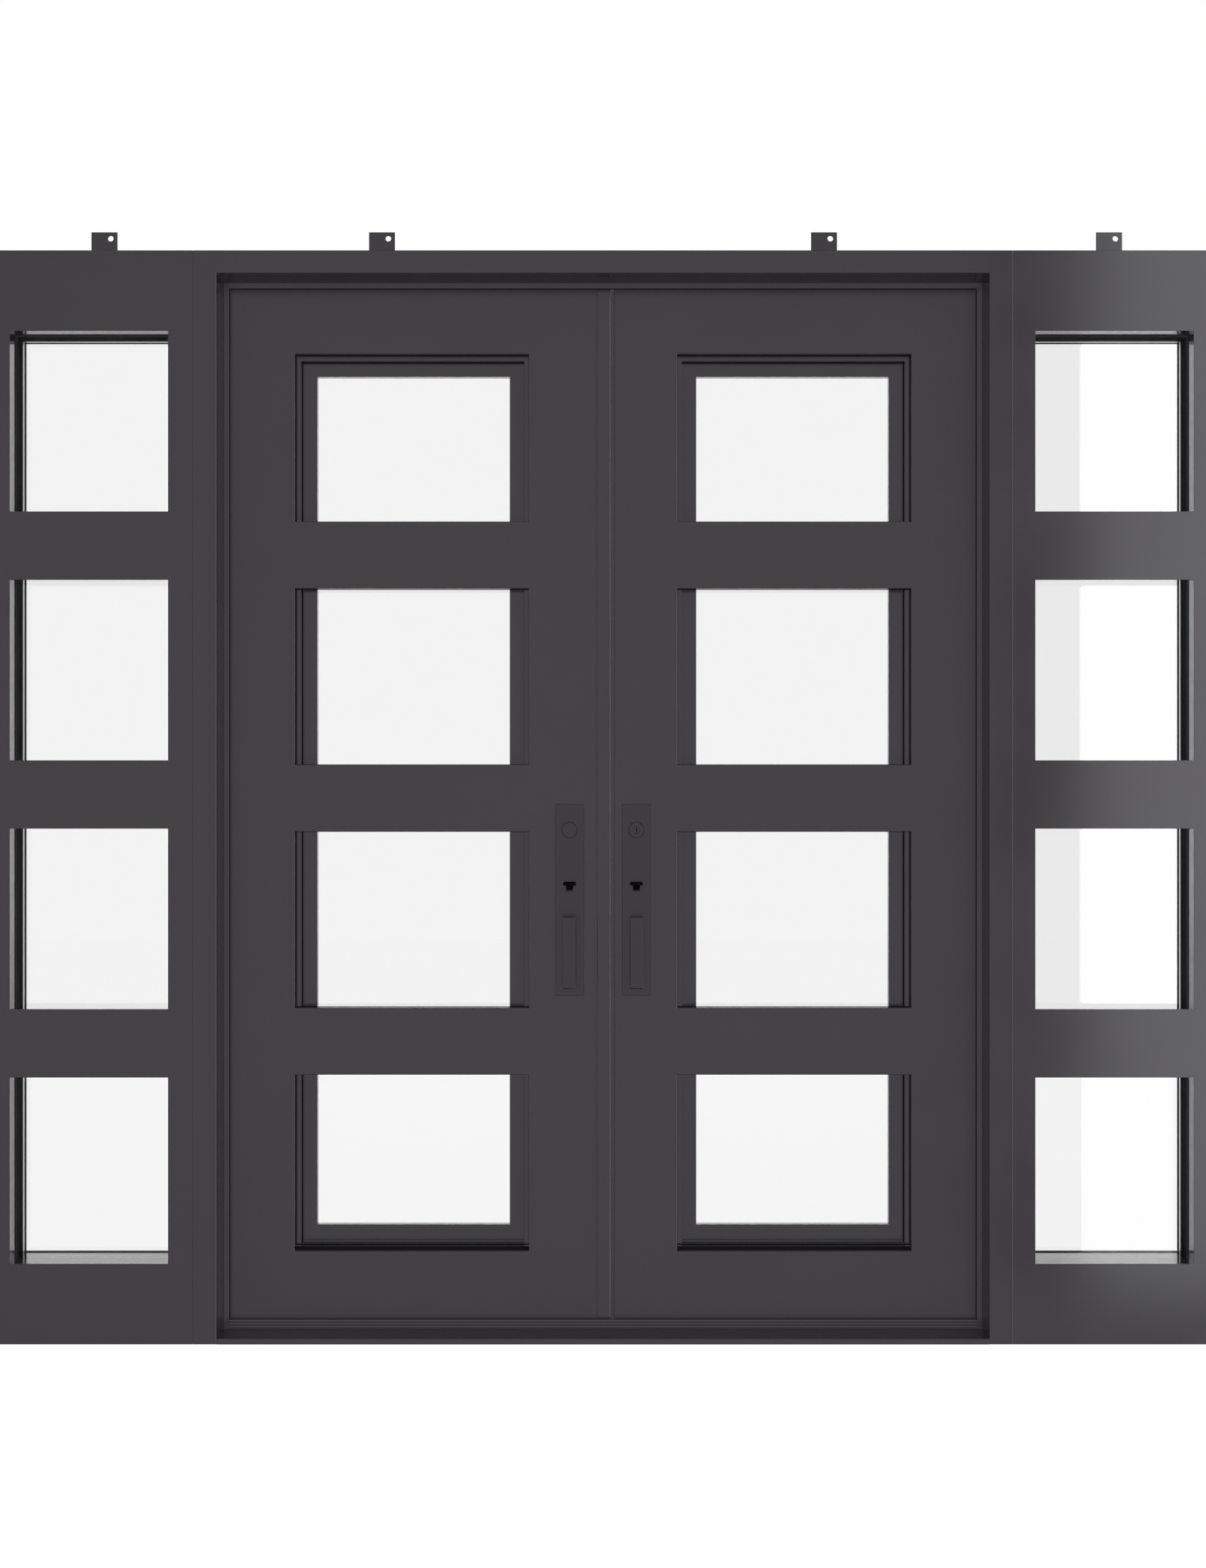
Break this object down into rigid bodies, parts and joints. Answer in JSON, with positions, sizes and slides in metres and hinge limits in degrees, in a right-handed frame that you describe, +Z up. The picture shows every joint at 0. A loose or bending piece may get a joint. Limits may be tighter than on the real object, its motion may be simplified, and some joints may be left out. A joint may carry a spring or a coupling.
{
  "type": "door with sidelights",
  "caption": "Glazed steel entry door with in-swinging leaves, fixed full-height sidelights, horizontal glazing bars, pull handles with thumb latch and anchor tabs.",
  "frame": {"origin": "middle of the threshold's underside, halfway through the frame's depth", "axes": "+X to the viewer's right seen from outside, +Y towards indoors, +Z up"},
  "size_m": [2.7432, 0.2074, 2.4974],
  "materials": {
    "painted_steel": "satin",
    "hardware_finish": "satin",
    "black_metal": "satin",
    "insulated_glass": "clear",
    "black_rubber": "matt",
    "seal_brush": "matt"
  },
  "bodies": {
    "frame": {"anchor_tabs": "painted_steel", "door_stops": "painted_steel", "head": "painted_steel", "left_frame_hinges": "painted_steel", "left_jamb": "painted_steel", "left_sidelight_bars": "painted_steel", "left_sidelight_gaskets": "black_rubber", "left_sidelight_glass": "insulated_glass", "left_sidelight_rails": "painted_steel", "left_sidelight_stiles": "painted_steel", "right_frame_hinges": "painted_steel", "right_jamb": "painted_steel", "right_sidelight_bars": "painted_steel", "right_sidelight_gaskets": "black_rubber", "right_sidelight_glass": "insulated_glass", "right_sidelight_rails": "painted_steel", "right_sidelight_stiles": "painted_steel", "threshold": "painted_steel", "weatherstrip": "black_rubber"},
    "left_leaf": {"left_cylinder": "hardware_finish", "left_escutcheon": "hardware_finish", "left_glazing_lip": "painted_steel", "left_inner_trim": "hardware_finish", "left_leaf_bars": "painted_steel", "left_leaf_glass": "insulated_glass", "left_leaf_hinges": "painted_steel", "left_leaf_rails": "painted_steel", "left_leaf_stiles": "painted_steel", "left_pull": "hardware_finish", "left_sash": "painted_steel", "left_sill_gasket": "black_rubber", "left_thumb_piece": "black_metal", "astragal": "painted_steel"},
    "right_leaf": {"right_cylinder": "hardware_finish", "right_escutcheon": "hardware_finish", "right_glazing_lip": "painted_steel", "right_inner_trim": "hardware_finish", "right_leaf_bars": "painted_steel", "right_leaf_glass": "insulated_glass", "right_leaf_hinges": "painted_steel", "right_leaf_rails": "painted_steel", "right_leaf_stiles": "painted_steel", "right_pull": "hardware_finish", "right_sash": "painted_steel", "right_sill_gasket": "black_rubber", "meeting_seal": "seal_brush"},
    "thumb_lever": {"right_thumb_piece": "black_metal"}
  },
  "joints": [
    {"name": "left_leaf_hinge", "type": "hinge", "parent": "frame", "child": "left_leaf", "pos_m": [-0.85885, 0.0857, 0], "axis": [0, 0, 1], "range_deg": [0, 105]},
    {"name": "right_leaf_hinge", "type": "hinge", "parent": "frame", "child": "right_leaf", "pos_m": [0.85885, 0.0857, 0], "axis": [0, 0, -1], "range_deg": [0, 105]},
    {"name": "thumb_press", "type": "hinge", "parent": "right_leaf", "child": "thumb_lever", "pos_m": [0.076, 0.0324, 1.0177], "axis": [1, 0, 0], "range_deg": [0, 10], "stiffness_Nm_per_rad": 0.6, "springref_deg": -17.19}
  ]
}
